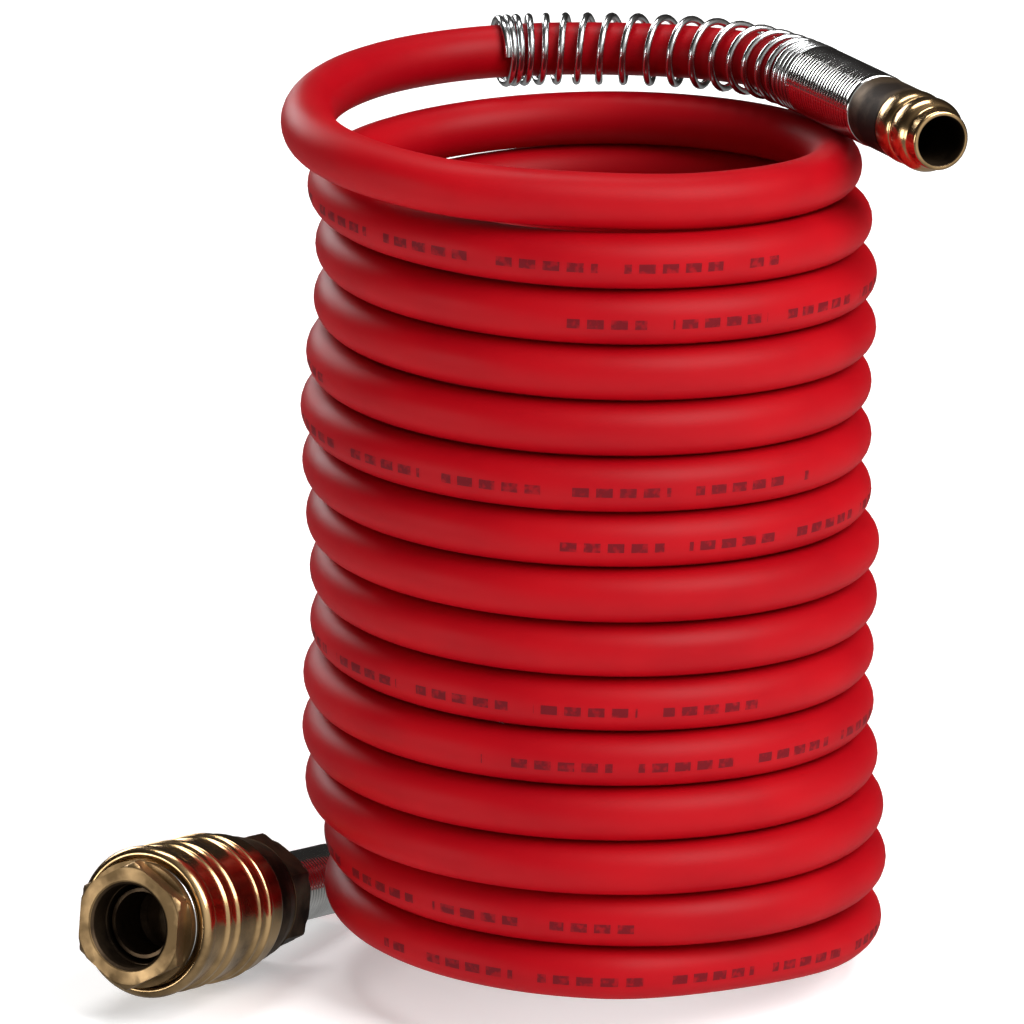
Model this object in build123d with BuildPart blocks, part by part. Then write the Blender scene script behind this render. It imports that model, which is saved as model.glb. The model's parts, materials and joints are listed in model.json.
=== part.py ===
"""Coiled compressed-air hose with a quick coupler at the floor end and a plug at the top end.

Millimetres, +Z up. The origin is on the floor under the axis of the coil.
X runs to the right and Y to the back, with the coupler at the front left.
"""

from build123d import *
from math import cos, pi, radians, sin, tan
import os

os.makedirs("parts", exist_ok=True)

# ---------------------------------------------------------------- driving dimensions
HOSE_R = 4.0                # outside radius of the hose
HOSE_BORE_R = 3.0           # bore radius of the hose

COIL_OUTER_R = 43.7         # outside radius of the stacked turns
COIL_INNER_R = 34.4         # inside radius of the stacked turns
COIL_TOP_Z = 127.6          # top of the stacked turns

PLUG_TIP = Vector(49.9, -24.0, 132.8)
PLUG_HEADING = 113.8        # degrees in plan, from the tip back towards the hose
PLUG_RISE = 1.95            # degrees, the plug rises a little towards the hose
COUPLER_MOUTH = Vector(-67.8, -28.1, 15.8)
COUPLER_HEADING = 62.5      # degrees in plan, from the mouth back towards the hose
COUPLER_FALL = 9.0          # degrees, the coupler leans back on its sleeve and hexagon

# Stations are distances along a fitting's axis, from its open end.
PLUG_BODY_END = 19.9
COUPLER_BODY_END = 39.5
NUT_LENGTH = 21.0
NUT_R = 5.45
HEX_AF = 16.7               # across flats of both hexagons

SLEEVE_START, SLEEVE_END = 4.2, 27.5
SLEEVE_TRAVEL = 3.0
SLEEVE_CREST_R, SLEEVE_VALLEY_R, SLEEVE_RIM_R = 11.3, 10.75, 10.5
BARREL_R = 8.6              # nose barrel that the sleeve slides on
MOUTH_BORE_R, NOSE_BORE_R = 6.2, 6.0
MOUTH_BORE_END = 3.9        # the mouth's bore ends just in front of the valve
POPPET_START = 4.1
POPPET_TRAVEL = 6.0

BALL_COUNT = 6
BALL_R = 1.6
BALL_STATION = 7.1
BALL_PITCH_R = 7.12         # radius of the circle through the ball centres

GUARD_OUTER_R, GUARD_INNER_R = 5.55, 4.95

# Hand-picked corners of the free hose, from the plug's nut to the top turn of the coil.
TOP_RUN = [
    (27.9, 25.7, 134.5), (18.7, 34.9, 134.3), (5.6, 40.2, 134.0), (-8.9, 41.2, 133.8),
    (-22.0, 36.6, 133.6), (-32.6, 27.0, 133.3), (-39.6, 13.6, 132.7), (-42.2, -1.6, 131.6),
    (-39.6, -16.6, 130.4), (-30.6, -29.6, 129.2), (-16.2, -37.8, 127.8), (0.6, -40.0, 126.2),
]
# The same from the coupler's nut, round the back on the floor, up to the bottom turn.
TAIL_RUN = [
    (-34.5, 35.9, 4.5), (-24.2, 45.3, 4.1), (-11.0, 50.2, 4.05), (3.8, 50.0, 4.1),
    (17.6, 45.0, 4.3), (29.4, 36.0, 4.8), (37.6, 23.4, 5.7), (40.7, 8.6, 7.2),
    (39.4, -6.3, 8.9), (33.4, -21.0, 10.3),
]
GUARD_CORNERS = 4           # corners of the top run that the guard spring covers
GUARD_END = Vector(-14.0, 39.9, 133.7)


def fitting_plane(origin, heading, fall):
    """Plane of a fitting's half outline: local X runs back along its axis, local Y is its radius."""
    level = cos(radians(fall))
    back = Vector(level * cos(radians(heading)), level * sin(radians(heading)), -sin(radians(fall)))
    return Plane(origin=origin, x_dir=back, z_dir=back.cross(Vector(0, 0, 1)))


def station(plane, distance):
    """Plane square to a fitting's axis, at a distance behind its open end."""
    return Plane(origin=plane.origin + plane.x_dir * distance, x_dir=plane.y_dir, z_dir=plane.x_dir)


def axis_of(plane):
    return Axis(plane.origin, plane.x_dir)


def bend_radii(points):
    """Radius of the arc at each corner: 0.45 of its shorter run over the tangent of half the turn."""
    radii = []
    for before, corner, after in zip(points, points[1:], points[2:]):
        run_in, run_out = corner - before, after - corner
        half_turn = radians(run_in.get_angle(run_out)) / 2
        radii.append(0.45 * min(run_in.length, run_out.length) / tan(half_turn))
    return radii


plug = fitting_plane(PLUG_TIP, PLUG_HEADING, -PLUG_RISE)
coupler = fitting_plane(COUPLER_MOUTH, COUPLER_HEADING, COUPLER_FALL)
plug_nut_end = station(plug, PLUG_BODY_END + NUT_LENGTH).origin
coupler_nut_end = station(coupler, COUPLER_BODY_END + NUT_LENGTH).origin

# ---------------------------------------------------------------- plug, turned from brass
STEM_R, STEM_LENGTH = 4.5, 6.5
BARB_TEETH, BARB_PITCH = 4, 3.1
BARB_ROOT_R, BARB_CREST_R = 2.6, 2.95
WAY_R = 1.9                 # air way through a barb


def barb_outline(start):
    """Points of a barbed stem that points back along the axis: saw teeth on a thin root."""
    points = []
    for tooth in range(BARB_TEETH):
        at = start + tooth * BARB_PITCH
        points += [(at, BARB_CREST_R), (at + BARB_PITCH, BARB_ROOT_R)]
    return points


with BuildPart() as plug_body:
    with BuildSketch(plug):
        with BuildLine():
            stem_end = PLUG_BODY_END + STEM_LENGTH
            barb = barb_outline(stem_end)
            tip_cone = Line((2.3, 4.4), (2.9, 5.1))
            front_collar = ThreePointArc((2.9, 5.1), (4.7, NUT_R), (6.3, 5.15))
            waist = Polyline((6.3, 5.15), (6.7, 4.85), (7.0, 4.85), (7.4, 5.15))
            rear_collar = ThreePointArc((7.4, 5.15), (9.0, NUT_R), (10.6, 5.2))
            shank = Polyline((10.6, 5.2), (11.0, 5.05), (11.3, 5.3), (11.6, NUT_R),
                             (PLUG_BODY_END, NUT_R), (PLUG_BODY_END, STEM_R), (stem_end, STEM_R), *barb)
            Polyline(barb[-1], (barb[-1][0], WAY_R), (16.0, WAY_R), (14.0, 3.6), (0, 3.6),
                     (0, 4.2), (0.25, 4.4), (2.3, 4.4))
        make_face()
    revolve(axis=axis_of(plug))
plug_body.part.label = "plug_body"
export_step(plug_body.part, "parts/plug_body.step")

# ---------------------------------------------------------------- clamp nuts, rings and hose ends
ends = {
    "plug": (plug, PLUG_BODY_END),
    "coupler": (coupler, COUPLER_BODY_END),
}
NUT_CAVITY_R, NUT_MOUTH_R = 4.55, 4.08
CAVITY_LENGTH = 11.6
for end_name, (end, nut_start) in ends.items():
    nut_end = nut_start + NUT_LENGTH
    with BuildPart() as clamp_nut:
        with BuildSketch(end):
            with BuildLine():
                Polyline((nut_start, NUT_CAVITY_R), (nut_start, NUT_R - 0.3), (nut_start + 0.3, NUT_R),
                         (nut_end - 0.5, NUT_R), (nut_end, NUT_R - 0.5), (nut_end, NUT_MOUTH_R),
                         (nut_start + CAVITY_LENGTH + 0.5, NUT_MOUTH_R),
                         (nut_start + CAVITY_LENGTH, NUT_CAVITY_R), close=True)
            make_face()
        revolve(axis=axis_of(end))
    clamp_nut.part.label = end_name + "_nut"
    export_step(clamp_nut.part, "parts/" + end_name + "_nut.step")

    ring_start = nut_start + 7.0
    with BuildPart() as clamp_ring:
        with BuildSketch(end):
            with BuildLine():
                Polyline((ring_start, 4.02), (ring_start, 4.3), (ring_start + 1.0, 4.5),
                         (ring_start + 3.2, 4.5), (ring_start + 4.0, 4.2), (ring_start + 4.0, 4.02),
                         close=True)
            make_face()
        revolve(axis=axis_of(end))
    clamp_ring.part.label = end_name + "_clamp_ring"
    export_step(clamp_ring.part, "parts/" + end_name + "_clamp_ring.step")

    with BuildPart() as hose_end:
        with BuildSketch(station(end, nut_start + STEM_LENGTH + 0.1)):
            Circle(HOSE_R)
            Circle(HOSE_BORE_R, mode=Mode.SUBTRACT)
        extrude(amount=NUT_LENGTH - STEM_LENGTH - 0.1)
    hose_end.part.label = "hose_end_in_" + end_name
    export_step(hose_end.part, "parts/hose_end_in_" + end_name + ".step")

# ---------------------------------------------------------------- coupler nose: hexagon, neck and ball barrel
NOSE_HEX_END, NECK_END = 2.6, 4.1
NECK_R, CLIP_R = 9.3, 0.42
BARREL_END, SPIGOT_END, SPIGOT_R = 24.0, 28.0, 7.6
with BuildPart() as coupler_nose:
    with BuildSketch(station(coupler, 0)):
        RegularPolygon(HEX_AF / 2, 6, major_radius=False, rotation=0)
    extrude(amount=NOSE_HEX_END)
    with BuildSketch(coupler):
        with BuildLine():
            Polyline((0, 0), (0, 8.9), (0.5, 9.8), (NOSE_HEX_END, 9.8), (NOSE_HEX_END, 0), close=True)
        make_face()
    revolve(axis=axis_of(coupler), mode=Mode.INTERSECT)
    with BuildSketch(coupler):
        with BuildLine():
            Polyline((NOSE_HEX_END, 0), (NOSE_HEX_END, NECK_R), (NECK_END, NECK_R), (NECK_END, BARREL_R),
                     (4.3, BARREL_R), (4.3, 8.3), (5.1, 8.3), (5.1, BARREL_R),
                     (BARREL_END, BARREL_R), (BARREL_END, SPIGOT_R), (SPIGOT_END, SPIGOT_R),
                     (SPIGOT_END, 0), close=True)
        make_face()
    revolve(axis=axis_of(coupler))
    with BuildSketch(coupler):
        with BuildLine():
            Polyline((0, 0), (0, MOUTH_BORE_R + 0.5), (0.5, MOUTH_BORE_R), (MOUTH_BORE_END, MOUTH_BORE_R),
                     (MOUTH_BORE_END, NOSE_BORE_R), (SPIGOT_END, NOSE_BORE_R), (SPIGOT_END, 0), close=True)
        make_face()
    revolve(axis=axis_of(coupler), mode=Mode.SUBTRACT)
    for ball in range(BALL_COUNT):
        turn = 2 * pi * (ball + 0.5) / BALL_COUNT
        outward = coupler.y_dir * cos(turn) + coupler.z_dir * sin(turn)
        with BuildSketch(Plane(origin=station(coupler, BALL_STATION).origin, z_dir=outward)):
            Circle(BALL_R + 0.03)
        extrude(amount=BARREL_R + 1, mode=Mode.SUBTRACT)
coupler_nose.part.label = "coupler_nose"
export_step(coupler_nose.part, "parts/coupler_nose.step")

with BuildPart() as locking_balls:
    for ball in range(BALL_COUNT):
        turn = 2 * pi * (ball + 0.5) / BALL_COUNT
        outward = coupler.y_dir * cos(turn) + coupler.z_dir * sin(turn)
        with Locations(station(coupler, BALL_STATION).origin + outward * BALL_PITCH_R):
            Sphere(BALL_R)
locking_balls.part.label = "locking_balls"
export_step(locking_balls.part, "parts/locking_balls.step")

with BuildPart() as sleeve_clip:
    with BuildSketch(coupler):
        with Locations((4.7, 8.75)):
            Circle(CLIP_R)
    revolve(axis=axis_of(coupler))
sleeve_clip.part.label = "sleeve_clip"
export_step(sleeve_clip.part, "parts/sleeve_clip.step")

# ---------------------------------------------------------------- sliding sleeve with four grip ridges
RIDGES = (10.9, 13.9, 20.1, 23.0)      # stations of the ridges behind the front rim
RIDGE_HALF = 0.95
LAND_R, SPRING_ROOM_R = 8.78, 10.0
LAND_START, LAND_END = 5.25, 9.2
ridge_points = []
for ridge in RIDGES:
    ridge_points += [(ridge - RIDGE_HALF, SLEEVE_VALLEY_R), (ridge - 0.45, SLEEVE_CREST_R),
                     (ridge + 0.45, SLEEVE_CREST_R), (ridge + RIDGE_HALF, SLEEVE_VALLEY_R)]
with BuildPart() as coupler_sleeve:
    with BuildSketch(coupler):
        with BuildLine():
            Polyline((LAND_START, 9.6), (SLEEVE_START, 9.9), (SLEEVE_START, 10.5),
                     (SLEEVE_START + 0.8, SLEEVE_CREST_R), (6.3, SLEEVE_CREST_R), (7.0, SLEEVE_VALLEY_R),
                     *ridge_points, (SLEEVE_END - 0.5, SLEEVE_VALLEY_R), (SLEEVE_END, SLEEVE_RIM_R),
                     (SLEEVE_END, SPRING_ROOM_R), (LAND_END, SPRING_ROOM_R), (LAND_END, LAND_R),
                     (LAND_START, LAND_R), close=True)
        make_face()
    revolve(axis=axis_of(coupler))
coupler_sleeve.part.label = "coupler_sleeve"
export_step(coupler_sleeve.part, "parts/coupler_sleeve.step")

# ---------------------------------------------------------------- coupler body with the rear hexagon
BODY_FRONT, FLANGE_END, HEX_START = BARREL_END, 31.0, 33.5
GASKET_END = SPIGOT_END + 0.6
with BuildPart() as coupler_body:
    with BuildSketch(station(coupler, HEX_START)):
        RegularPolygon(HEX_AF / 2, 6, major_radius=False, rotation=0)
    extrude(amount=COUPLER_BODY_END - HEX_START)
    with BuildSketch(coupler):
        with BuildLine():
            Polyline((HEX_START, 0), (HEX_START, 9.7), (COUPLER_BODY_END - 0.8, 9.7),
                     (COUPLER_BODY_END, 8.5), (COUPLER_BODY_END, 0), close=True)
        make_face()
    revolve(axis=axis_of(coupler), mode=Mode.INTERSECT)
    with BuildSketch(coupler):
        with BuildLine():
            Polyline((BODY_FRONT, 0), (BODY_FRONT, 9.9), (FLANGE_END, 9.9), (HEX_START, 9.2),
                     (HEX_START, 0), close=True)
        make_face()
    revolve(axis=axis_of(coupler))
    with BuildSketch(coupler):
        with BuildLine():
            Polyline((BODY_FRONT, 0), (BODY_FRONT, SPIGOT_R + 0.05), (GASKET_END, SPIGOT_R + 0.05),
                     (GASKET_END, 6.6), (34.0, 6.6), (34.0, 5.05), (COUPLER_BODY_END, 5.05),
                     (COUPLER_BODY_END, 0), close=True)
        make_face()
    revolve(axis=axis_of(coupler), mode=Mode.SUBTRACT)
coupler_body.part.label = "coupler_body"
export_step(coupler_body.part, "parts/coupler_body.step")

with BuildPart() as barrel_gasket:
    with BuildSketch(coupler):
        with BuildLine():
            Polyline((SPIGOT_END, 6.2), (SPIGOT_END, SPIGOT_R), (GASKET_END, SPIGOT_R), (GASKET_END, 6.2),
                     close=True)
        make_face()
    revolve(axis=axis_of(coupler))
barrel_gasket.part.label = "barrel_gasket"
export_step(barrel_gasket.part, "parts/barrel_gasket.step")

with BuildPart() as coupler_tailpiece:
    with BuildSketch(coupler):
        with BuildLine():
            stem_end = COUPLER_BODY_END + STEM_LENGTH
            barb = barb_outline(stem_end)
            Polyline((34.1, WAY_R), (34.1, 5.0), (COUPLER_BODY_END, 5.0), (COUPLER_BODY_END, STEM_R),
                     (stem_end, STEM_R), *barb, (barb[-1][0], WAY_R), close=True)
        make_face()
    revolve(axis=axis_of(coupler))
coupler_tailpiece.part.label = "coupler_tailpiece"
export_step(coupler_tailpiece.part, "parts/coupler_tailpiece.step")

# ---------------------------------------------------------------- valve inside the coupler
POPPET_END = 13.4
with BuildPart() as valve_poppet:
    with BuildSketch(coupler):
        with BuildLine():
            Polyline((POPPET_START, 4.7), (POPPET_START, 5.2), (POPPET_START + 0.2, 5.35), (11.8, 5.35),
                     (11.8, 5.9), (12.6, 5.9), (12.6, 5.35), (POPPET_END, 4.8), (POPPET_END, 0),
                     (11.9, 0), (11.9, 4.0), (11.2, 4.7), close=True)
        make_face()
    revolve(axis=axis_of(coupler))
valve_poppet.part.label = "valve_poppet"
export_step(valve_poppet.part, "parts/valve_poppet.step")

with BuildPart() as valve_seal:
    with BuildSketch(coupler):
        with Locations((10.4, 5.68)):
            Circle(0.3)
    revolve(axis=axis_of(coupler))
valve_seal.part.label = "valve_seal"
export_step(valve_seal.part, "parts/valve_seal.step")

# Springs are drawn at the length they have with the sleeve and the valve pushed back.
springs = {
    "valve_spring": (POPPET_END + POPPET_TRAVEL + 0.4, 33.7, 4.7, 0.35, 7),
    "sleeve_spring": (LAND_END + SLEEVE_TRAVEL + 0.5, BODY_FRONT - 0.5, 9.3, 0.45, 6),
}
for spring_name, (start, end, coil_r, wire_r, turns) in springs.items():
    seat = station(coupler, start)
    with BuildPart() as coil_spring:
        with BuildLine():
            wire = Helix(pitch=(end - start) / turns, height=end - start, radius=coil_r,
                         center=seat.origin, direction=seat.z_dir)
        with BuildSketch(Plane(origin=wire @ 0, z_dir=wire % 0)):
            Circle(wire_r)
        sweep(is_frenet=True)
    coil_spring.part.label = spring_name
    export_step(coil_spring.part, "parts/" + spring_name + ".step")

# ---------------------------------------------------------------- hose
# The stacked turns stand as one ring, let in where the coupler lies against the bottom turns.
RELIEF = 0.4
with BuildPart() as hose_coil:
    with BuildSketch():
        Circle(COIL_OUTER_R)
        Circle(COIL_INNER_R, mode=Mode.SUBTRACT)
    extrude(amount=COIL_TOP_Z)
    with BuildSketch(coupler):
        with BuildLine():
            Polyline((15, 0), (15, SLEEVE_CREST_R + RELIEF),
                     (SLEEVE_END + SLEEVE_TRAVEL + RELIEF, SLEEVE_CREST_R + RELIEF),
                     (SLEEVE_END + SLEEVE_TRAVEL + RELIEF, 10.1),
                     (COUPLER_BODY_END + RELIEF, 10.1), (COUPLER_BODY_END + RELIEF, NUT_R + RELIEF),
                     (COUPLER_BODY_END + NUT_LENGTH + RELIEF, NUT_R + RELIEF),
                     (COUPLER_BODY_END + NUT_LENGTH + RELIEF, 0), close=True)
        make_face()
    revolve(axis=axis_of(coupler), mode=Mode.SUBTRACT)
hose_coil.part.label = "hose_coil"
export_step(hose_coil.part, "parts/hose_coil.step")

runs = {
    "hose_top_run": (plug_nut_end, TOP_RUN),
    "hose_tail_run": (coupler_nut_end, TAIL_RUN),
}
for run_name, (start, corners) in runs.items():
    points = [start] + [Vector(*corner) for corner in corners]
    radii = bend_radii(points)
    print(run_name, "bend radii", [round(radius, 1) for radius in radii])
    with BuildPart() as hose_run:
        with BuildLine():
            route = FilletPolyline(*points, radius=radii)
        with BuildSketch(Plane(origin=route @ 0, z_dir=route % 0)):
            Circle(HOSE_R)
        sweep()
    print(run_name, "volume", round(hose_run.part.volume), "against section times length",
          round(pi * HOSE_R ** 2 * route.length), "length", round(route.length, 1))
    hose_run.part.label = run_name
    export_step(hose_run.part, "parts/" + run_name + ".step")

# ---------------------------------------------------------------- guard spring, as the sleeve it fills
guard_points = [plug_nut_end] + [Vector(*corner) for corner in TOP_RUN[:GUARD_CORNERS]] + [GUARD_END]
with BuildPart() as guard_spring:
    with BuildLine():
        guard_route = FilletPolyline(*guard_points, radius=bend_radii(guard_points))
    with BuildSketch(Plane(origin=guard_route @ 0, z_dir=guard_route % 0)):
        Circle(GUARD_OUTER_R)
        Circle(GUARD_INNER_R, mode=Mode.SUBTRACT)
    sweep()
print("guard spring length", round(guard_route.length, 1))
guard_spring.part.label = "guard_spring"
export_step(guard_spring.part, "parts/guard_spring.step")
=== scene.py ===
"""Looks of a coiled air hose: glossy red nylon hose, turned brass fittings and plated clamp nuts."""

import json
import math

import bpy
import numpy as np
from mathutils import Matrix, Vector


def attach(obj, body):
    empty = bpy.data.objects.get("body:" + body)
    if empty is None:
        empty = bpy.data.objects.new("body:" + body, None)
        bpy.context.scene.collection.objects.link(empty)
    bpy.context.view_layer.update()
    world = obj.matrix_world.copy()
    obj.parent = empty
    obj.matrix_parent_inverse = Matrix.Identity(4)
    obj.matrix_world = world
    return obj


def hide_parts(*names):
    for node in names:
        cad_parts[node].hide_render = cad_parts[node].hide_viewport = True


bl_info = {
    "name": "Coiled Air Hose",
    "version": (1, 0, 0),
    "blender": (4, 5, 0),
    "location": "3D View > Sidebar > Air Hose",
    "description": "Makes a coiled air hose with its plug, quick coupler and guard spring",
    "category": "Object",
}

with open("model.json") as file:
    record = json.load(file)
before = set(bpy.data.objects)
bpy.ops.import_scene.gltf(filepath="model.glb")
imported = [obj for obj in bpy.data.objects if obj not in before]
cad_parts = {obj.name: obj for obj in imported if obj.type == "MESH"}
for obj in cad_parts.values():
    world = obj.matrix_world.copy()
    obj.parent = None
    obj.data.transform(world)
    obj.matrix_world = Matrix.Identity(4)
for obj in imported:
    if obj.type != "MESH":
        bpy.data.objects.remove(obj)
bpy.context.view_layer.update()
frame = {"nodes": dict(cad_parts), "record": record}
MM = 0.001


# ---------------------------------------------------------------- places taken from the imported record
def mount_of(name):
    """A mount's point and axis as arrays, in metres."""
    found = next(m for m in frame["record"]["mounts"] if m["name"] == name)
    return np.array(found["pos_m"], float), np.array(found["axis"], float)


def fitting_axis(mount, inset):
    """Open end of a fitting, and the unit vectors along its axis, up its side and across."""
    point, out = mount_of(mount)
    back = -out / np.linalg.norm(out)
    across = np.cross(back, (0.0, 0.0, 1.0))
    across /= np.linalg.norm(across)
    return point - back * inset, back, np.cross(across, back), across


MOUTH_MIDDLE = 2.2 * MM
PLUG = fitting_axis("plug_nose", 1.275 * MM)
COUPLER = fitting_axis("coupler_socket", MOUTH_MIDDLE)
PLUG_BODY_END, COUPLER_BODY_END = 19.9 * MM, 39.5 * MM
NUT_LENGTH = 21.0 * MM


# ---------------------------------------------------------------- settings that a user may change
class HoseSettings(bpy.types.PropertyGroup):
    """Size, winding and colour of the hose."""

    radius: bpy.props.FloatProperty(
        name="Hose Radius", description="Outside radius of the hose", default=0.004, unit="LENGTH"
    )
    length: bpy.props.FloatProperty(
        name="Length", description="Length by count: 14.1 turns of 0.24 m, and 0.32 m of free runs",
        default=3.71, unit="LENGTH",
    )
    turns: bpy.props.IntProperty(
        name="Turns", description="Turns between the top and the bottom front of the coil", default=14, min=1
    )
    pitch: bpy.props.FloatProperty(
        name="Pitch", description="Drop of the hose in one turn", default=0.00811, precision=5, unit="LENGTH"
    )
    top_height: bpy.props.FloatProperty(
        name="Top Height", description="Height of the top turn's middle line at the front",
        default=0.1262, precision=4, unit="LENGTH",
    )
    colour: bpy.props.StringProperty(
        name="Colour", description="Red of the nylon, as sRGB hex", default="A70310"
    )


class FittingSettings(bpy.types.PropertyGroup):
    """Sizes and colours of the fittings."""

    wire_radius: bpy.props.FloatProperty(
        name="Wire Radius", description="Radius of the guard spring's wire", default=0.00056,
        precision=5, unit="LENGTH",
    )
    guard_radius: bpy.props.FloatProperty(
        name="Guard Radius", description="Radius of the guard spring to the middle of its wire",
        default=0.00497, precision=5, unit="LENGTH",
    )
    guard_phase: bpy.props.FloatProperty(
        name="Guard Phase", description="Where on its round the guard spring starts", default=math.pi,
        subtype="ANGLE",
    )
    brass: bpy.props.StringProperty(
        name="Brass", description="Turned brass, as sRGB hex", default="CFAC7C"
    )
    old_brass: bpy.props.StringProperty(
        name="Old Brass", description="Tarnished brass, as sRGB hex", default="7A6344"
    )
    plating: bpy.props.StringProperty(
        name="Plating", description="Nickel and chrome plating, as sRGB hex", default="DADAD8"
    )


class StageSettings(bpy.types.PropertyGroup):
    """Camera, floor and lights."""

    camera_place: bpy.props.FloatVectorProperty(
        name="Camera Place", description="Where the camera stands", default=(0.0, -0.95928, 0.32284),
        subtype="TRANSLATION", unit="LENGTH",
    )
    camera_aim: bpy.props.FloatVectorProperty(
        name="Camera Aim", description="The point that the camera looks at",
        default=(-0.01175, 0.0, 0.07156), subtype="TRANSLATION", unit="LENGTH",
    )
    lens: bpy.props.FloatProperty(
        name="Lens", description="Focal length of the camera", default=234.4, unit="CAMERA"
    )
    floor_colour: bpy.props.StringProperty(
        name="Floor", description="Pale floor, as sRGB hex", default="F4F4F4"
    )


# ---------------------------------------------------------------- small tools
SHARP_ANGLE = math.radians(32)
LARGEST_SHARE_OF_SIDE = 0.45


def linear(hex_colour):
    """An sRGB hex colour as linear red, green and blue by the sRGB curve, with an alpha of 1."""
    channels = np.array([int(hex_colour[i:i + 2], 16) for i in (0, 2, 4)]) / 255.0
    values = np.where(channels <= 0.04045, channels / 12.92, ((channels + 0.055) / 1.055) ** 2.4)
    return (*[float(v) for v in values], 1.0)


def node(tree, kind, links=None, **settings):
    """Adds a shader node. Settings that name an input set its value, and links join other sockets to it."""
    made = tree.nodes.new(kind)
    for key, value in settings.items():
        if hasattr(made, key):
            setattr(made, key, value)
        else:
            made.inputs[key.replace("_", " ")].default_value = value
    for socket, source in (links or {}).items():
        tree.links.new(source, made.inputs[socket])
    return made


def ramp_stops(ramp, stops):
    """Sets a colour ramp's stops from (place, colour) pairs."""
    elements = ramp.color_ramp.elements
    while len(elements) < len(stops):
        elements.new(0.5)
    for element, (place, colour) in zip(elements, stops):
        element.position = place
        element.color = colour


def new_material(name):
    """A material with an empty tree, and that tree."""
    material = bpy.data.materials.new(name)
    material.use_nodes = True
    material.node_tree.nodes.clear()
    return material, material.node_tree


def close_material(tree, shader):
    """Joins a finished shader to a new output."""
    node(tree, "ShaderNodeOutputMaterial", {"Surface": shader.outputs[0]})


def grid_mesh(name, rows, uv_rows, wrap_rows=False):
    """A mesh over an array of points (rows, columns, 3). Columns always close on themselves.

    Each row is one ring of the surface. With wrap_rows the last ring joins the first, and without it
    both end rings are closed by one face each. uv_rows holds (rows + wrap, columns + 1, 2) coordinates.
    """
    count, around = rows.shape[:2]
    ring = np.arange(count if wrap_rows else count - 1)[:, None]
    side = np.arange(around)[None, :]
    following, turned = (ring + 1) % count, (side + 1) % around
    quads = np.stack([
        ring * around + side, ring * around + turned, following * around + turned, following * around + side,
    ], axis=-1).reshape(-1, 4)
    faces = quads.tolist()
    if not wrap_rows:
        faces.append(list(range(around))[::-1])
        faces.append([(count - 1) * around + i for i in range(around)])
    mesh = bpy.data.meshes.new(name)
    mesh.from_pydata(rows.reshape(-1, 3).tolist(), [], faces)
    uv = mesh.uv_layers.new(name="UVMap")
    corner = np.stack([
        uv_rows[ring, side], uv_rows[ring, side + 1], uv_rows[ring + 1, side + 1], uv_rows[ring + 1, side],
    ], axis=2).reshape(-1, 2)
    values = np.zeros((len(mesh.loops), 2))
    values[:len(corner)] = corner
    uv.data.foreach_set("uv", values.ravel())
    mesh.polygons.foreach_set("use_smooth", [True] * len(mesh.polygons))
    mesh.set_sharp_from_angle(angle=SHARP_ANGLE)
    mesh.update()
    return mesh


def darken(piece, axis, material, radius=0.0, first=1.0, last=1.0):
    """Gives a second material to the faces within a radius of the axis, or between two stations along it."""
    origin, back = axis[:2]
    centres = np.zeros(len(piece.data.polygons) * 3)
    piece.data.polygons.foreach_get("center", centres)
    centres = centres.reshape(-1, 3) - origin
    station = centres @ back
    away = np.linalg.norm(centres - station[:, None] * back, axis=1)
    chosen = (away < radius) | ((station > first) & (station < last))
    piece.data.materials.append(material)
    piece.data.polygons.foreach_set("material_index", chosen.astype(int))


def new_piece(name, mesh, material, body):
    """An object for a finished mesh, riding on its body, with its material."""
    piece = bpy.data.objects.new(name, mesh)
    bpy.context.scene.collection.objects.link(piece)
    piece.data.materials.append(material)
    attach(piece, body)
    return piece


def rounded(points, radius, steps=4):
    """An outline with each corner replaced by a quadratic curve that starts and ends `radius` from it.

    The curve is (1-t)^2 a + 2t(1-t) corner + t^2 b. It never takes more of a side than the share above.
    """
    points = np.asarray(points, float)
    before, after = np.roll(points, 1, axis=0), np.roll(points, -1, axis=0)
    side_in, side_out = before - points, after - points
    length_in = np.linalg.norm(side_in, axis=1)[:, None]
    length_out = np.linalg.norm(side_out, axis=1)[:, None]
    start = points + side_in * np.minimum(radius / length_in, LARGEST_SHARE_OF_SIDE)
    end = points + side_out * np.minimum(radius / length_out, LARGEST_SHARE_OF_SIDE)
    t = np.linspace(0, 1, steps + 1)[None, :, None]
    curve = (1 - t) ** 2 * start[:, None] + 2 * t * (1 - t) * points[:, None] + t ** 2 * end[:, None]
    return curve.reshape(-1, 2)


def turned(name, axis, outline, segments=96, limit=None):
    """A closed body of revolution about a fitting's axis, from a closed outline of (station, radius).

    Both are in metres. The point at outline (s, r) and angle a is origin + s*back + r*(cos a*up +
    sin a*across). A limit function of the angle and station, such as a hexagon's flats, may cut the
    radius down. The map is (angle in turns, length along the outline in metres).
    """
    origin, back, up, across = axis
    outline = np.asarray(outline, float)
    if np.sum(outline[:, 0] * np.roll(outline[:, 1], -1) - np.roll(outline[:, 0], -1) * outline[:, 1]) < 0:
        outline = outline[::-1]
    angle = np.linspace(0, 2 * math.pi, segments, endpoint=False)
    station = np.repeat(outline[:, :1], segments, axis=1)
    radius = np.repeat(outline[:, 1:], segments, axis=1)
    if limit is not None:
        radius = np.minimum(radius, limit(angle[None, :], station))
    outward = np.cos(angle)[:, None] * up + np.sin(angle)[:, None] * across
    rows = origin + station[..., None] * back + radius[..., None] * outward
    along = np.concatenate([[0], np.cumsum(np.linalg.norm(np.roll(outline, -1, axis=0) - outline, axis=1))])
    uv = np.zeros((len(outline) + 1, segments + 1, 2))
    uv[..., 0] = np.linspace(0, 1, segments + 1)[None, :]
    uv[..., 1] = along[:, None]
    return grid_mesh(name, rows, uv, wrap_rows=True)


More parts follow.
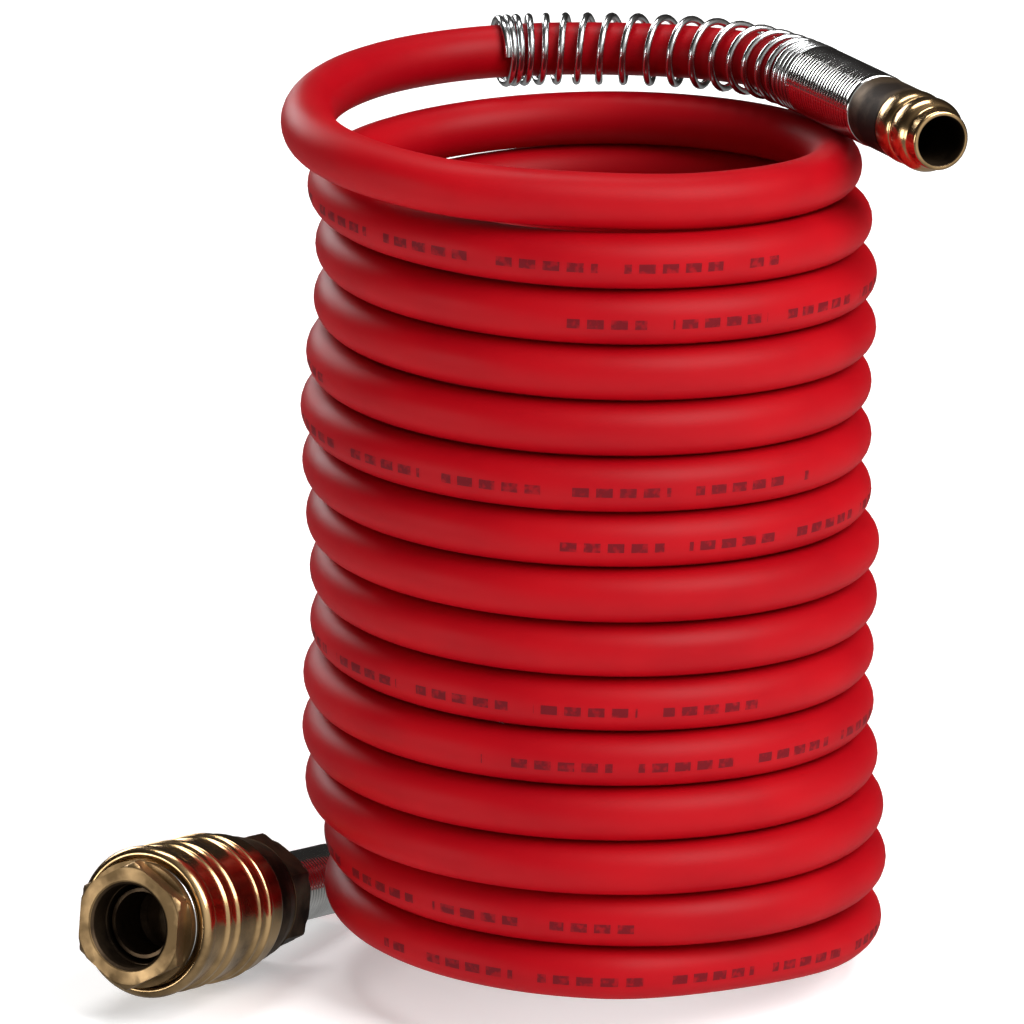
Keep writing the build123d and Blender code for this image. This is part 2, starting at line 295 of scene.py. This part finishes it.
def tube_frames(path):
    """Side and up at each point of a path, turned as little as may be from point to point."""
    tangent = np.gradient(path, axis=0)
    tangent /= np.linalg.norm(tangent, axis=1)[:, None]
    side = np.zeros_like(path)
    current = np.cross(tangent[0], (0.0, 0.0, 1.0))
    for i, ahead in enumerate(tangent):
        current = current - ahead * np.dot(current, ahead)
        current /= np.linalg.norm(current)
        side[i] = current
    return side, np.cross(side, tangent)


def level_frames(path):
    """The same for a path that is nowhere steep: side is level, and points out of the coil."""
    tangent = np.gradient(path, axis=0)
    tangent /= np.linalg.norm(tangent, axis=1)[:, None]
    side = np.cross(tangent, (0.0, 0.0, 1.0))
    side /= np.linalg.norm(side, axis=1)[:, None]
    return side, np.cross(side, tangent)


def tube(name, path, frames, radius, sides):
    """A round tube along a path, with its points at path + radius * (cos a * side + sin a * up).

    Angle a starts at 180 degrees, so the seam runs opposite to the side. The map is (angle in turns,
    length along the path in metres).
    """
    side, up = frames
    angle = math.pi + np.linspace(0, 2 * math.pi, sides, endpoint=False)
    rows = path[:, None] + radius * (np.cos(angle)[None, :, None] * side[:, None]
                                     + np.sin(angle)[None, :, None] * up[:, None])
    along = np.concatenate([[0], np.cumsum(np.linalg.norm(np.diff(path, axis=0), axis=1))])
    uv = np.zeros((len(path), sides + 1, 2))
    uv[..., 0] = np.linspace(0, 1, sides + 1)[None, :]
    uv[..., 1] = along[:, None]
    return grid_mesh(name, rows, uv)


# ---------------------------------------------------------------- materials
# The printed line's place and half height in turns about the hose. At 0.5 it would face straight out.
INK_MIDDLE, INK_HALF_HEIGHT = 0.485, 0.028
# What repeats along the hose, as (metres from one to the next, share of it with ink): dash, group, row.
INK_REPEATS = ((0.0031, 0.7), (0.0171, 0.8), (0.318, 0.36))


def size_marks(tree, place):
    """Rows of plain dashes printed along the hose, in place of a maker's wording: 1 where there is ink."""
    axes = node(tree, "ShaderNodeSeparateXYZ", {0: place.outputs["UV"]})

    def step(value, operation, number):
        made = node(tree, "ShaderNodeMath", {0: value}, operation=operation)
        made.inputs[1].default_value = number
        return made.outputs[0]

    around, along = axes.outputs["X"], axes.outputs["Y"]
    off_middle = step(step(around, "SUBTRACT", INK_MIDDLE), "ABSOLUTE", 0.0)
    parts = [step(off_middle, "LESS_THAN", INK_HALF_HEIGHT)]
    for repeat, share in INK_REPEATS:
        parts.append(step(step(step(along, "DIVIDE", repeat), "FRACT", 0.0), "LESS_THAN", share))
    wear = node(tree, "ShaderNodeTexNoise", {"Vector": place.outputs["Object"]}, Scale=900.0, Detail=2.0)
    ink = node(tree, "ShaderNodeMapRange", {"Value": wear.outputs["Fac"]}, From_Min=0.35, From_Max=0.5,
               To_Min=0.35, To_Max=0.85).outputs[0]
    for part in parts:
        ink = node(tree, "ShaderNodeMath", {0: ink, 1: part}, operation="MULTIPLY").outputs[0]
    return ink


def extruded_nylon():
    """Extruded nylon tube, dyed in the mass: a smooth skin with a soft gloss, faint die lines along its
    length and slow changes of gloss where it was wound and handled."""
    colour = bpy.context.scene.hose_settings.colour
    material, tree = new_material("extruded_nylon_red")
    place = node(tree, "ShaderNodeTexCoord")
    die = node(tree, "ShaderNodeMapping", {"Vector": place.outputs["UV"]}, Scale=(160.0, 6.0, 1.0))
    lines = node(tree, "ShaderNodeTexNoise", {"Vector": die.outputs[0]}, Scale=1.0, Detail=2.0)
    patches = node(tree, "ShaderNodeTexNoise", {"Vector": place.outputs["Object"]}, Scale=55.0, Detail=3.0)
    shade = node(tree, "ShaderNodeValToRGB", {"Fac": patches.outputs["Fac"]})
    ramp_stops(shade, [(0.3, linear("99020F")), (0.7, linear(colour))])
    inked = node(tree, "ShaderNodeMix", {6: shade.outputs["Color"], 0: size_marks(tree, place)},
                 data_type="RGBA")
    inked.inputs[7].default_value = linear("5A0A14")
    gloss = node(tree, "ShaderNodeMapRange", {"Value": patches.outputs["Fac"]},
                 From_Min=0.3, From_Max=0.7, To_Min=0.44, To_Max=0.52)
    bump = node(tree, "ShaderNodeBump", {"Height": lines.outputs["Fac"]}, Strength=0.12, Distance=0.00004)
    shader = node(tree, "ShaderNodeBsdfPrincipled", {
        "Base Color": inked.outputs[2], "Roughness": gloss.outputs[0], "Normal": bump.outputs[0],
    }, IOR=1.5, Specular_IOR_Level=0.12, Subsurface_Weight=0.08, Subsurface_Scale=0.002)
    shader.inputs["Subsurface Radius"].default_value = (1.0, 0.15, 0.1)
    close_material(tree, shader)
    return material


def turned_metal(name, bright, dull, roughness, ring_mm, depth, stain=0.35):
    """Metal turned on a lathe: rings of fine tool marks square to the axis, drawn ring_mm apart, and
    tarnish in slow patches that is darker and rougher than the clean metal."""
    material, tree = new_material(name)
    place = node(tree, "ShaderNodeTexCoord")
    stretch = node(tree, "ShaderNodeMapping", {"Vector": place.outputs["UV"]},
                   Scale=(3.0, 1000.0 / ring_mm, 1.0))
    rings = node(tree, "ShaderNodeTexNoise", {"Vector": stretch.outputs[0]}, Scale=1.0, Detail=3.0)
    tarnish = node(tree, "ShaderNodeTexNoise", {"Vector": place.outputs["Object"]}, Scale=140.0, Detail=5.0)
    shade = node(tree, "ShaderNodeValToRGB", {"Fac": tarnish.outputs["Fac"]})
    ramp_stops(shade, [(stain, linear(dull)), (stain + 0.28, linear(bright))])
    rough = node(tree, "ShaderNodeMapRange", {"Value": tarnish.outputs["Fac"]},
                 From_Min=stain, From_Max=stain + 0.3, To_Min=roughness * 1.5, To_Max=roughness)
    bump = node(tree, "ShaderNodeBump", {"Height": rings.outputs["Fac"]}, Strength=depth, Distance=0.00005)
    shader = node(tree, "ShaderNodeBsdfPrincipled", {
        "Base Color": shade.outputs["Color"], "Roughness": rough.outputs[0], "Normal": bump.outputs[0],
    }, Metallic=1.0)
    close_material(tree, shader)
    return material


def painted_shade_brass():
    """Dark brown brass: painted shade in the bores, and painted dark reflection on the shank and rear
    hexagon.
    """
    return turned_metal("painted_shade_brass", "6E5B46", "2C231C", 0.42, 0.2, 0.2, stain=0.4)


def drawn_wire():
    """Plated spring wire, drawn through a die: bright, with fine scratches along the wire."""
    material, tree = new_material("drawn_spring_wire")
    place = node(tree, "ShaderNodeTexCoord")
    stretch = node(tree, "ShaderNodeMapping", {"Vector": place.outputs["UV"]}, Scale=(24.0, 60.0, 1.0))
    scratches = node(tree, "ShaderNodeTexNoise", {"Vector": stretch.outputs[0]}, Scale=1.0, Detail=2.0)
    rough = node(tree, "ShaderNodeMapRange", {"Value": scratches.outputs["Fac"]}, To_Min=0.12, To_Max=0.3)
    shader = node(tree, "ShaderNodeBsdfPrincipled", {"Roughness": rough.outputs[0]},
                  Base_Color=linear("C6C7C8"), Metallic=1.0)
    close_material(tree, shader)
    return material


def seal_rubber():
    """Moulded nitrile rubber: near black and matt, with a fine mould grain."""
    material, tree = new_material("moulded_nitrile_rubber")
    place = node(tree, "ShaderNodeTexCoord")
    grain = node(tree, "ShaderNodeTexNoise", {"Vector": place.outputs["Object"]}, Scale=3000.0, Detail=2.0)
    rough = node(tree, "ShaderNodeMapRange", {"Value": grain.outputs["Fac"]}, To_Min=0.5, To_Max=0.75)
    shader = node(tree, "ShaderNodeBsdfPrincipled", {"Roughness": rough.outputs[0]},
                  Base_Color=linear("141414"))
    close_material(tree, shader)
    return material


def pale_floor():
    """Opal acrylic table, matt and lit a little from below, so that it stays almost white."""
    material, tree = new_material("opal_table")
    colour = linear(bpy.context.scene.stage_settings.floor_colour)
    shader = node(tree, "ShaderNodeBsdfPrincipled", Roughness=0.9, Base_Color=colour,
                  Emission_Color=colour, Emission_Strength=0.42)
    close_material(tree, shader)
    return material


# ---------------------------------------------------------------- stage
def aimed(obj, place, target):
    """Stands an object at a place with its -Z axis towards a target."""
    obj.location = place
    obj.rotation_euler = (Vector(target) - Vector(place)).to_track_quat("-Z", "Y").to_euler()


def card(name, place, target, size, material):
    """A flat square card of a stage, facing a target."""
    half = size / 2
    mesh = bpy.data.meshes.new(name)
    corners = [(-half, -half, 0), (half, -half, 0), (half, half, 0), (-half, half, 0)]
    mesh.from_pydata(corners, [], [(0, 1, 2, 3)])
    mesh.materials.append(material)
    made = bpy.data.objects.new(name, mesh)
    bpy.context.scene.collection.objects.link(made)
    aimed(made, place, target)
    return made


SOFTBOXES = {
    # name: place, width, height, power in watts
    "key_softbox": ((0.8, -0.6, 1.0), 0.9, 0.9, 21.0),
    "left_front_box": ((-1.0, -0.62, 0.14), 0.4, 0.4, 2.9),
    "back_left_box": ((-0.62, 0.95, 0.5), 0.55, 0.4, 5.0),
    "top_softbox": ((-0.1, 0.3, 1.3), 0.8, 0.3, 8.0),
}
LAMP_AIM = (0, 0, 0.07)
FLOOR_SIZE = 8.0
BRIGHT_SIDE = (0.62, -0.7, 0.35)
# Linear colours of the room, from square to the bright side (0) to towards it (1).
ROOM_SHADES = [
    (0.0, (0.02, 0.018, 0.017, 1)), (0.45, (0.12, 0.11, 0.1, 1)), (0.95, (0.75, 0.74, 0.72, 1)),
]


def studio_world():
    """A dim room, brighter towards the key light and below the table's edge, with a dark back."""
    world = bpy.data.worlds.new("studio")
    world.use_nodes = True
    tree = world.node_tree
    tree.nodes.clear()
    place = node(tree, "ShaderNodeTexCoord")
    facing = node(tree, "ShaderNodeVectorMath", {0: place.outputs["Generated"]}, operation="DOT_PRODUCT")
    facing.inputs[1].default_value = BRIGHT_SIDE
    shade = node(tree, "ShaderNodeValToRGB", {"Fac": facing.outputs["Value"]})
    ramp_stops(shade, ROOM_SHADES)
    axes = node(tree, "ShaderNodeSeparateXYZ", {0: place.outputs["Generated"]})
    low = node(tree, "ShaderNodeMapRange", {"Value": axes.outputs["Z"]},
               From_Min=-0.05, From_Max=-0.6, To_Min=0.0, To_Max=0.3)
    both = node(tree, "ShaderNodeVectorMath", {0: shade.outputs["Color"], 1: low.outputs[0]},
                operation="ADD")
    light = node(tree, "ShaderNodeBackground", {"Color": both.outputs[0]}, Strength=1.0)
    node(tree, "ShaderNodeOutputWorld", {"Surface": light.outputs[0]})
    return world


class AIRHOSE_OT_stage(bpy.types.Operator):
    """Make the floor, the soft lights and the camera"""

    bl_idname = "airhose.stage"
    bl_label = "Stage"

    def execute(self, context):
        settings = context.scene.stage_settings
        camera = bpy.data.objects.new("camera", bpy.data.cameras.new("camera"))
        context.scene.collection.objects.link(camera)
        camera.data.lens = settings.lens
        camera.data.sensor_width = 36.0
        camera.data.clip_start = 0.05
        aimed(camera, settings.camera_place, settings.camera_aim)
        context.scene.camera = camera

        floor = card("floor", (0, 0, 0), (0, 0, -1), FLOOR_SIZE, pale_floor())
        floor.visible_glossy = False
        for name, (place, width, height, power) in SOFTBOXES.items():
            light = bpy.data.lights.new(name, "AREA")
            light.shape = "RECTANGLE"
            light.size, light.size_y = width, height
            light.energy = power
            lamp = bpy.data.objects.new(name, light)
            context.scene.collection.objects.link(lamp)
            aimed(lamp, place, LAMP_AIM)
        context.scene.world = studio_world()
        context.scene.view_settings.view_transform = "Standard"
        return {"FINISHED"}


# ---------------------------------------------------------------- hose
# Points of the free hose, from the plug's nut to the top turn, in metres.
TOP_RUN = [
    (0.0279, 0.0257, 0.1345), (0.0187, 0.0349, 0.1343), (0.0056, 0.0402, 0.1340), (-0.0089, 0.0412, 0.1338),
    (-0.0220, 0.0366, 0.1336), (-0.0326, 0.0270, 0.1333), (-0.0396, 0.0136, 0.1327),
    (-0.0422, -0.0016, 0.1316), (-0.0396, -0.0166, 0.1304), (-0.0306, -0.0296, 0.1292),
    (-0.0162, -0.0378, 0.1278),
]
# The same from the coupler's nut, round the back on the floor, up to the bottom turn.
TAIL_RUN = [
    (-0.0345, 0.0359, 0.0045), (-0.0242, 0.0453, 0.0041), (-0.0110, 0.0502, 0.00405),
    (0.0038, 0.0500, 0.0041), (0.0176, 0.0450, 0.0043), (0.0294, 0.0360, 0.0048), (0.0376, 0.0234, 0.0057),
    (0.0407, 0.0086, 0.0072), (0.0394, -0.0063, 0.0089), (0.0334, -0.0210, 0.0103),
]
# Radius of the winding in millimetres at its right and left sides in turn, from the top turn down. Real
# turns differ a little, and the last ones are pressed in where the coupler lies against them.
SIDE_RADII = [
    35.6, 37.8, 37.2, 36.7, 38.0, 37.0, 38.0, 38.2, 37.4, 39.1, 37.5, 38.9, 37.6, 38.4, 38.9,
    37.9, 38.7, 37.9, 38.3, 39.0, 38.4, 39.2, 39.1, 38.8, 40.1, 36.0, 40.6, 36.0, 40.8,
]
# How many millimetres the hose stands above an even winding at the front, right, back and left of each
# turn, from the top turn down. No turn is lifted 0.11 more than the one above, so they never meet.
LIFTS = [
    (0.0, 0.38, 1.95, 1.6), (0.1, 0.45, 2.05, 0.9), (0.1, 0.55, 2.0, 0.9), (0.1, 0.5, 1.8, 0.8),
    (0.1, 0.45, 1.55, 0.7), (0.1, 0.4, 1.3, 0.6), (0.1, 0.35, 1.05, 0.5), (0.1, 0.3, 0.8, 0.4),
    (0.05, 0.2, 0.55, 0.3), (0.0, 0.1, 0.3, 0.15), (0.0, 0.0, 0.0, 0.0),
]
POINTS_PER_TURN = 16
FIRST_POINT = 0.6 / POINTS_PER_TURN
TURNS_PAST_LAST_FRONT = 0.09
HOSE_SIDES = 28
SPLINE_ORDER, SPLINE_STEPS = 3, 7
SAME_POINT = 0.001 * MM


def coil_points(settings):
    """Control points of the stacked turns, counted in turns from the top front.

    The angle is turn * 360 - 90 degrees, and the height falls by one pitch in a turn, plus the lift. The
    radius runs between the side radii on a cosine. A quadratic spline runs cos(180/n) inside its n control
    points a turn, so they stand that much out.
    """
    count = int((settings.turns + TURNS_PAST_LAST_FRONT) * POINTS_PER_TURN)
    turn = np.arange(count) / POINTS_PER_TURN + FIRST_POINT
    angle = 2 * math.pi * (turn - 0.25)
    half_turns = np.clip(2 * (turn - 0.25), 0, len(SIDE_RADII) - 1.001)
    before = half_turns.astype(int)
    blend = 0.5 - 0.5 * np.cos(math.pi * (half_turns - before))
    side = np.array(SIDE_RADII) * MM
    radius = side[before] * (1 - blend) + side[before + 1] * blend
    lifts = np.array(LIFTS).ravel() * MM
    lift = np.interp(4 * turn, np.arange(len(lifts)), lifts)
    height = settings.top_height - settings.pitch * turn + lift
    out = radius / math.cos(math.pi / POINTS_PER_TURN)
    return np.stack([out * np.cos(angle), out * np.sin(angle), height], axis=1)


def hose_route():
    """The middle line of the whole hose as a dense array, from the plug's nut to the coupler's nut."""
    settings = bpy.context.scene.hose_settings
    plug_start = PLUG[0] + PLUG[1] * (PLUG_BODY_END + NUT_LENGTH)
    coupler_start = COUPLER[0] + COUPLER[1] * (COUPLER_BODY_END + NUT_LENGTH)
    points = np.concatenate([
        [plug_start], TOP_RUN, coil_points(settings), TAIL_RUN[::-1], [coupler_start],
    ])
    curve = bpy.data.curves.new("hose_route", "CURVE")
    curve.dimensions = "3D"
    spline = curve.splines.new("NURBS")
    spline.points.add(len(points) - 1)
    spline.points.foreach_set("co", np.c_[points, np.ones(len(points))].ravel())
    spline.order_u = SPLINE_ORDER
    spline.use_endpoint_u = True
    curve.resolution_u = SPLINE_STEPS
    holder = bpy.data.objects.new("hose_route", curve)
    line = bpy.data.meshes.new_from_object(holder)
    path = np.zeros(len(line.vertices) * 3)
    line.vertices.foreach_get("co", path)
    bpy.data.objects.remove(holder)
    bpy.data.meshes.remove(line)
    path = path.reshape(-1, 3)
    keep = np.concatenate([[True], np.linalg.norm(np.diff(path, axis=0), axis=1) > SAME_POINT])
    return path[keep]


class AIRHOSE_OT_hose(bpy.types.Operator):
    """Make the red hose in one piece, from nut to nut"""

    bl_idname = "airhose.hose"
    bl_label = "Hose"

    def execute(self, context):
        settings = context.scene.hose_settings
        path = hose_route()
        nylon = extruded_nylon()
        shape = tube("hose", path, level_frames(path), settings.radius, HOSE_SIDES)
        hose = new_piece("hose", shape, nylon, "root")
        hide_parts("hose_coil", "hose_top_run", "hose_tail_run")
        for end in ("hose_end_in_plug", "hose_end_in_coupler"):
            dress(end, nylon)
        return {"FINISHED"}


def dress(name, material):
    """Gives a CAD node's object its finished material."""
    piece = frame["nodes"][name]
    for index in range(len(piece.material_slots)):
        piece.material_slots[index].material = material


# ---------------------------------------------------------------- guard spring
# Distance of each turn of the guard spring from the nut, in millimetres. It is close wound at both ends.
GUARD_STEPS = [
    -0.6, 0.55, 1.7, 2.9, 4.3, 6.6, 9.8, 14.0, 18.3, 22.8, 27.1, 31.5, 35.7, 40.0, 43.9, 47.5,
    50.7, 53.5, 56.0, 57.7, 59.0, 60.2,
]
GUARD_POINTS_PER_TURN = 32
GUARD_SMOOTHING = 25
WIRE_SIDES = 12


def guard_wire(settings):
    """Middle line of the guard spring's wire, wound about the hose's own route.

    Point = route + radius * (cos * side + sin * up), with the route taken at the table's distances.
    """
    path = hose_route()
    along = np.concatenate([[0], np.cumsum(np.linalg.norm(np.diff(path, axis=0), axis=1))])
    last = len(GUARD_STEPS) - 1
    turns = np.linspace(0, last, last * GUARD_POINTS_PER_TURN + 1)
    distance = np.interp(turns, np.arange(len(GUARD_STEPS)), GUARD_STEPS) * MM
    padded = np.pad(distance, GUARD_SMOOTHING // 2, "edge")
    smooth = np.convolve(padded, np.ones(GUARD_SMOOTHING) / GUARD_SMOOTHING, "valid")
    distance = np.where(smooth < 0, 0, smooth)
    middle, side, up = (
        np.stack([np.interp(distance, along, values[:, k]) for k in range(3)], axis=1)
        for values in (path, *level_frames(path))
    )
    start = path[1] - path[0]
    middle = middle + (smooth - distance)[:, None] * start / np.linalg.norm(start)
    angle = 2 * math.pi * turns + settings.guard_phase
    return middle + settings.guard_radius * (np.cos(angle)[:, None] * side + np.sin(angle)[:, None] * up)


class AIRHOSE_OT_guard_spring(bpy.types.Operator):
    """Make the wire guard spring that stops the hose kinking at the plug"""

    bl_idname = "airhose.guard_spring"
    bl_label = "Guard Spring"

    def execute(self, context):
        settings = context.scene.fitting_settings
        middle = guard_wire(settings)
        wire = tube("guard_spring_wire", middle, tube_frames(middle), settings.wire_radius, WIRE_SIDES)
        spring = new_piece("guard_spring_wire", wire, drawn_wire(), "root")
        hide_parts("guard_spring")
        return {"FINISHED"}


# ---------------------------------------------------------------- nuts
NUT_RADIUS, NUT_BORE, HOSE_SEAT = 5.45 * MM, 4.55 * MM, 4.08 * MM
RING_PITCH, RING_DEPTH, RING_POINTS = 0.85 * MM, 0.09 * MM, 260
NUT_SEGMENTS = 112


def nut_outline(start):
    """Closed outline of a clamp nut with fine rings turned in its outside, R - depth * (1 - cos) / 2."""
    end = start + NUT_LENGTH
    outside = np.linspace(start + 0.9 * MM, end - 0.9 * MM, RING_POINTS)
    phase = 2 * math.pi * (outside - outside[0]) / RING_PITCH
    ringed = NUT_RADIUS - RING_DEPTH * (0.5 - 0.5 * np.cos(phase))
    rim = rounded(np.array([
        (start, NUT_BORE), (start, 5.3 * MM), (start + 0.4 * MM, NUT_RADIUS), (start + 0.8 * MM, NUT_RADIUS),
    ]), 0.2 * MM)[3:-3]
    tail = rounded(np.array([
        (end - 0.8 * MM, NUT_RADIUS), (end - 0.4 * MM, NUT_RADIUS), (end, 5.05 * MM), (end, HOSE_SEAT),
        (start + 12.1 * MM, HOSE_SEAT), (start + 11.6 * MM, NUT_BORE),
    ]), 0.2 * MM)[3:]
    return np.concatenate([rim, np.stack([outside, ringed], axis=1), tail])


class AIRHOSE_OT_nuts(bpy.types.Operator):
    """Make the plated clamp nuts at both ends of the hose"""

    bl_idname = "airhose.nuts"
    bl_label = "Clamp Nuts"

    def execute(self, context):
        plating = turned_metal("turned_plated_steel", context.scene.fitting_settings.plating, "B4B3B0",
                               0.14, 0.25, 0.3, stain=0.2)
        for end, axis, start in (("plug", PLUG, PLUG_BODY_END), ("coupler", COUPLER, COUPLER_BODY_END)):
            mesh = turned(end + "_nut_ringed", axis, nut_outline(start), NUT_SEGMENTS)
            nut = new_piece(end + "_nut_ringed", mesh, plating, "root")
            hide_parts(end + "_nut")
        return {"FINISHED"}


# ---------------------------------------------------------------- plug
# In millimetres.
BARB_CREST, BARB_ROOT, BARB_STEP = 2.95, 2.6, 3.1
BARB_TEETH = 4
PLUG_SEGMENTS = 128


def barb_points(start):
    """Saw teeth of a hose barb behind a station, in millimetres."""
    teeth = np.arange(BARB_TEETH) * BARB_STEP + start
    crests = np.stack([teeth, np.full(BARB_TEETH, BARB_CREST)], axis=1)
    roots = np.stack([teeth + BARB_STEP, np.full(BARB_TEETH, BARB_ROOT)], axis=1)
    return np.stack([crests, roots], axis=1).reshape(-1, 2)


class AIRHOSE_OT_plug(bpy.types.Operator):
    """Make the brass plug with its two rounded collars"""

    bl_idname = "airhose.plug"
    bl_label = "Plug"

    def execute(self, context):
        settings = context.scene.fitting_settings
        front = [(0, 3.6), (0, 4.15), (0.35, 4.4), (2.2, 4.42), (2.9, 5.0), (3.7, 5.4), (4.7, 5.45),
                 (5.7, 5.33), (6.3, 5.05), (6.6, 4.8), (7.0, 4.8), (7.3, 5.1), (8.0, 5.38), (9.0, 5.45),
                 (10.0, 5.38), (10.7, 5.2), (11.0, 5.3), (19.6, 5.3), (19.9, 5.15)]
        inside = [(19.9, 4.5), (26.4, 4.5), *barb_points(26.4).tolist(), (38.8, 1.9), (16, 1.9), (14, 3.6)]
        outline = rounded(np.array(front + inside) * MM, 0.35 * MM, 5)
        brass = turned_metal("turned_brass", settings.brass, settings.old_brass, 0.2, 0.2, 0.12, stain=0.25)
        mesh = turned("plug_turned", PLUG, outline, PLUG_SEGMENTS)
        plug = new_piece("plug_turned", mesh, brass, "root")
        # Painted shade in the bore and painted dark reflection on the shank, both in the dark brown brass.
        darken(plug, PLUG, painted_shade_brass(), radius=3.75 * MM, first=10.8 * MM, last=20.0 * MM)
        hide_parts("plug_body")
        return {"FINISHED"}


# ---------------------------------------------------------------- coupler
HEX_HALF = 8.35 * MM
COUPLER_SEGMENTS = 144
# A station this close to a hexagon's end, in metres, still counts as inside it. NO_LIMIT is past any radius.
STATION_SLACK = 1e-7
NO_LIMIT = 1.0


def hexagon(first, last):
    """Limit on the radius between two stations: half the width across flats over the cosine of the angle
    from the nearest flat's middle. Elsewhere there is no limit. A corner stands straight up."""

    def limit(angle, station):
        from_flat = (angle % (math.pi / 3)) - math.pi / 6
        flats = HEX_HALF / np.cos(from_flat)
        inside = (station >= first - STATION_SLACK) & (station <= last + STATION_SLACK)
        return np.where(inside, flats, NO_LIMIT)

    return limit


class AIRHOSE_OT_coupler(bpy.types.Operator):
    """Make the brass quick coupler: nose, sliding sleeve and body"""

    bl_idname = "airhose.coupler"
    bl_label = "Coupler"

    def execute(self, context):
        settings = context.scene.fitting_settings
        cast = turned_metal("machined_brass", settings.brass, settings.old_brass,
                            0.32, 0.16, 0.15, stain=0.42)
        bright = turned_metal("polished_brass", settings.brass, settings.old_brass,
                              0.19, 0.22, 0.1, stain=0.3)
        # Dark brown brass, used below as painted shade and painted dark reflection.
        dark = painted_shade_brass()

        nose = [(0, 6.7), (0, 8.75), (0.55, 9.66), (2.25, 9.66), (2.6, 9.3), (3.9, 9.3), (4.1, 9.1),
                (4.1, 8.6), (4.3, 8.6), (4.3, 8.3), (5.1, 8.3), (5.1, 8.6), (24, 8.6), (24, 7.6),
                (28, 7.6), (28, 6.0), (3.9, 6.0), (3.9, 6.2), (0.5, 6.2)]
        outline = rounded(np.array(nose) * MM, 0.16 * MM, 3)
        mesh = turned("coupler_nose_machined", COUPLER, outline, COUPLER_SEGMENTS, hexagon(0, 2.45 * MM))
        piece = new_piece("coupler_nose_machined", mesh, cast, "root")
        # Painted shade: the faces in the mouth's bore take the dark brown brass.
        darken(piece, COUPLER, dark, radius=6.5 * MM)
        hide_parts("coupler_nose")

        ridges = []
        for ridge in (10.9, 13.9, 20.1, 23.0):
            ridges += [(ridge - 1.05, 10.72), (ridge - 0.6, 10.95), (ridge - 0.3, 11.25),
                       (ridge + 0.3, 11.25), (ridge + 0.6, 10.95), (ridge + 1.05, 10.72)]
        sleeve = ([(5.25, 9.6), (4.2, 9.9), (4.2, 10.5), (4.6, 11.0), (5.2, 11.3), (6.2, 11.3), (6.8, 11.05),
                   (7.2, 10.75)] + ridges
                  + [(26.9, 10.75), (27.5, 10.5), (27.5, 10.0), (9.2, 10.0), (9.2, 8.78), (5.25, 8.78)])
        outline = rounded(np.array(sleeve) * MM, 0.3 * MM, 4)
        mesh = turned("coupler_sleeve_turned", COUPLER, outline, COUPLER_SEGMENTS)
        piece = new_piece("coupler_sleeve_turned", mesh, bright, "sleeve")
        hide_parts("coupler_sleeve")

        body = [(24, 7.65), (24, 9.9), (31, 9.9), (33.4, 9.3), (33.5, 9.6), (38.4, 9.6), (39.5, 8.5),
                (39.5, 5.05), (34, 5.05), (34, 6.6), (28.6, 6.6), (28.6, 7.65)]
        outline = rounded(np.array(body) * MM, 0.2 * MM, 3)
        flats = hexagon(33.45 * MM, 39.6 * MM)
        mesh = turned("coupler_body_machined", COUPLER, outline, COUPLER_SEGMENTS, flats)
        # Painted dark reflection: the body and its rear hexagon are all in the dark brown brass.
        piece = new_piece("coupler_body_machined", mesh, dark, "root")
        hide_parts("coupler_body")

        # Painted shade: the valve deep inside the coupler is in the dark brown brass.
        dress("valve_poppet", dark)
        for name in ("coupler_tailpiece", "coupler_clamp_ring", "plug_clamp_ring"):
            dress(name, cast)
        steel = drawn_wire()
        for name in ("sleeve_clip", "locking_balls", "valve_spring", "sleeve_spring"):
            dress(name, steel)
        rubber = seal_rubber()
        for name in ("valve_seal", "barrel_gasket"):
            dress(name, rubber)
        return {"FINISHED"}


# ---------------------------------------------------------------- panel and registration
class AIRHOSE_PT_panel(bpy.types.Panel):
    """Lists what the add-on makes"""

    bl_idname = "AIRHOSE_PT_panel"
    bl_label = "Air Hose"
    bl_space_type = "VIEW_3D"
    bl_region_type = "UI"
    bl_category = "Air Hose"

    def draw(self, context):
        for operator in OPERATORS:
            self.layout.operator(operator.bl_idname)
        for settings in (context.scene.hose_settings, context.scene.fitting_settings,
                         context.scene.stage_settings):
            box = self.layout.box()
            for name in type(settings).__annotations__:
                box.prop(settings, name)


OPERATORS = (
    AIRHOSE_OT_stage, AIRHOSE_OT_hose, AIRHOSE_OT_guard_spring, AIRHOSE_OT_nuts, AIRHOSE_OT_plug,
    AIRHOSE_OT_coupler,
)
CLASSES = (HoseSettings, FittingSettings, StageSettings, *OPERATORS, AIRHOSE_PT_panel)


def register():
    """Registers the classes and hangs the settings on the scene."""
    for cls in CLASSES:
        bpy.utils.register_class(cls)
    bpy.types.Scene.hose_settings = bpy.props.PointerProperty(type=HoseSettings)
    bpy.types.Scene.fitting_settings = bpy.props.PointerProperty(type=FittingSettings)
    bpy.types.Scene.stage_settings = bpy.props.PointerProperty(type=StageSettings)


def unregister():
    """Undoes register, in the other order."""
    del bpy.types.Scene.stage_settings
    del bpy.types.Scene.fitting_settings
    del bpy.types.Scene.hose_settings
    for cls in reversed(CLASSES):
        bpy.utils.unregister_class(cls)


def main():
    """Registers the classes, then makes everything."""
    register()
    for operator in OPERATORS:
        group, name = operator.bl_idname.split(".")
        getattr(getattr(bpy.ops, group), name)()


if __name__ == "__main__":
    main()
